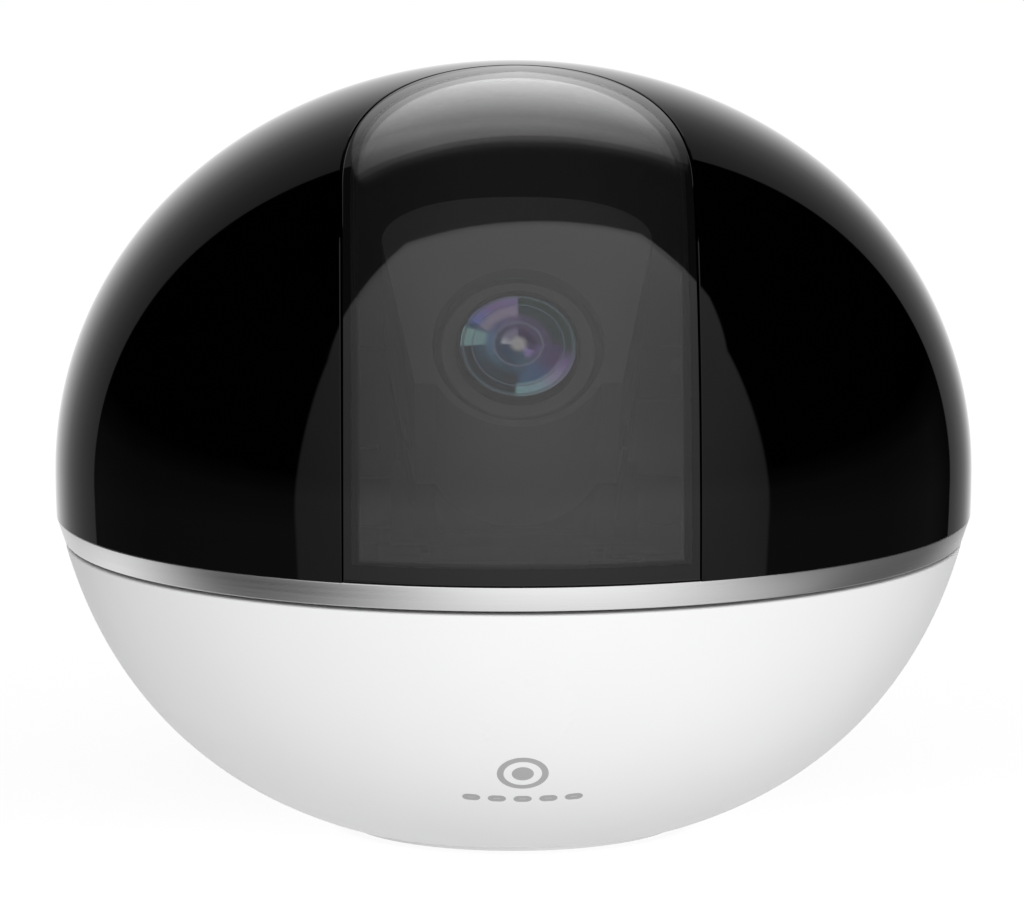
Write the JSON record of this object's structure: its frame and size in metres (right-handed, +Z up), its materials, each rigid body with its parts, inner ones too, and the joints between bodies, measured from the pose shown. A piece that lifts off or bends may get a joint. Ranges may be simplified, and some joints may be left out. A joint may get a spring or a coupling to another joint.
{
  "type": "pan and tilt security camera",
  "caption": "Ball-shaped indoor security camera: glossy black dome with an arched smoked window over a white bowl base, motor-driven to pan and tilt.",
  "frame": {"origin": "middle of the underside of the rubber foot, on the pan axis", "axes": "+Z up along the pan axis, -Y towards the front of the window, +X to the right seen from the front"},
  "size_m": [0.108, 0.108, 0.09],
  "materials": {
    "white_gloss": "glossy white moulding",
    "black_gloss": "piano black",
    "smoked_window": "smoked clear plastic",
    "silver_trim": "satin silver ring",
    "dark_plastic": "fine texture",
    "grey_plastic": "fine texture",
    "acetal": "natural acetal",
    "foot_rubber": "soft rubber",
    "steel": "zinc plated",
    "tinned_steel": "tinned sheet",
    "brass": "turned",
    "circuit_board": "solder mask",
    "adhesive": "foam tape",
    "cable": "insulated wires",
    "diffuser": "translucent white",
    "lens_glass": "coated",
    "filter_glass": "coated",
    "chip": "moulded",
    "led_epoxy": "clear",
    "gold_foil": "etched",
    "face_black": "satin",
    "bezel_grey": "satin"
  },
  "bodies": {
    "base": {"base_bowl": "white_gloss", "bottom_cover": "grey_plastic", "rubber_foot": "foot_rubber", "tripod_insert": "brass", "case_screws": "steel", "main_board": "circuit_board", "board_screws": "steel", "processor_shield": "tinned_steel", "usb_power_inlet": "tinned_steel", "card_socket": "tinned_steel", "speaker": "dark_plastic", "status_window": "diffuser", "light_board": "circuit_board", "reset_switch": "chip", "loom_connector": "acetal", "base_frame": "dark_plastic", "pan_gear": "acetal", "pan_gear_screws": "steel", "thrust_washer": "acetal", "retaining_ring": "steel"},
    "reset_plunger": {"reset_button": "grey_plastic"},
    "pan_head": {"turntable": "dark_plastic", "trim_ring": "silver_trim", "dome_shell": "black_gloss", "window_panel": "smoked_window", "window_adhesive": "adhesive", "dome_screws": "steel", "yoke_frame": "dark_plastic", "yoke_screws": "steel", "trunnion_bushes": "acetal", "pan_motor": "tinned_steel", "pan_motor_screws": "steel", "tilt_motor": "tinned_steel", "tilt_motor_screws": "steel", "back_shield": "dark_plastic", "shield_screws": "steel", "head_board": "circuit_board", "head_board_screws": "steel", "wifi_module": "tinned_steel", "wifi_antenna": "gold_foil", "microphone": "tinned_steel", "wiring_loom": "cable"},
    "pan_drive_pinion": {"pan_pinion": "acetal"},
    "tilt_drive_pinion": {"tilt_pinion": "acetal"},
    "tilt_head": {"tilt_front_cover": "face_black", "tilt_rear_cover": "dark_plastic", "tilt_cover_screws": "steel", "trunnion_shafts": "steel", "tilt_gear": "acetal", "sensor_cable": "cable", "lens_bezel": "bezel_grey", "lens_barrel": "dark_plastic", "front_lens": "lens_glass", "rear_lens": "lens_glass", "lens_holder": "dark_plastic", "ir_cut_filter": "filter_glass", "image_sensor": "chip", "sensor_board": "circuit_board", "ir_led_board": "circuit_board", "ir_leds": "led_epoxy"}
  },
  "joints": [
    {"name": "pan", "type": "hinge", "parent": "base", "child": "pan_head", "pos_m": [0, 0, 0.026], "axis": [0, 0, 1], "range_deg": [-170, 170]},
    {"name": "tilt", "type": "hinge", "parent": "pan_head", "child": "tilt_head", "pos_m": [0, 0, 0.038], "axis": [-1, 0, 0], "range_deg": [-35, 45]},
    {"name": "pan_pinion_spin", "type": "hinge", "parent": "pan_head", "child": "pan_drive_pinion", "pos_m": [0, 0.024, 0.021], "axis": [0, 0, 1], "range_deg": [-680, 680]},
    {"name": "tilt_pinion_spin", "type": "hinge", "parent": "pan_head", "child": "tilt_drive_pinion", "pos_m": [0.027, 0.018, 0.038], "axis": [-1, 0, 0], "range_deg": [-63, 49]},
    {"name": "reset_press", "type": "slide", "parent": "base", "child": "reset_plunger", "axis": [0, 0, 1], "range_m": [0, 0.0005], "stiffness_N_per_m": 400}
  ],
  "couplings": [
    {"joint": "pan_pinion_spin", "follows": "pan", "ratio": 4},
    {"joint": "tilt_pinion_spin", "follows": "tilt", "ratio": -1.4}
  ]
}
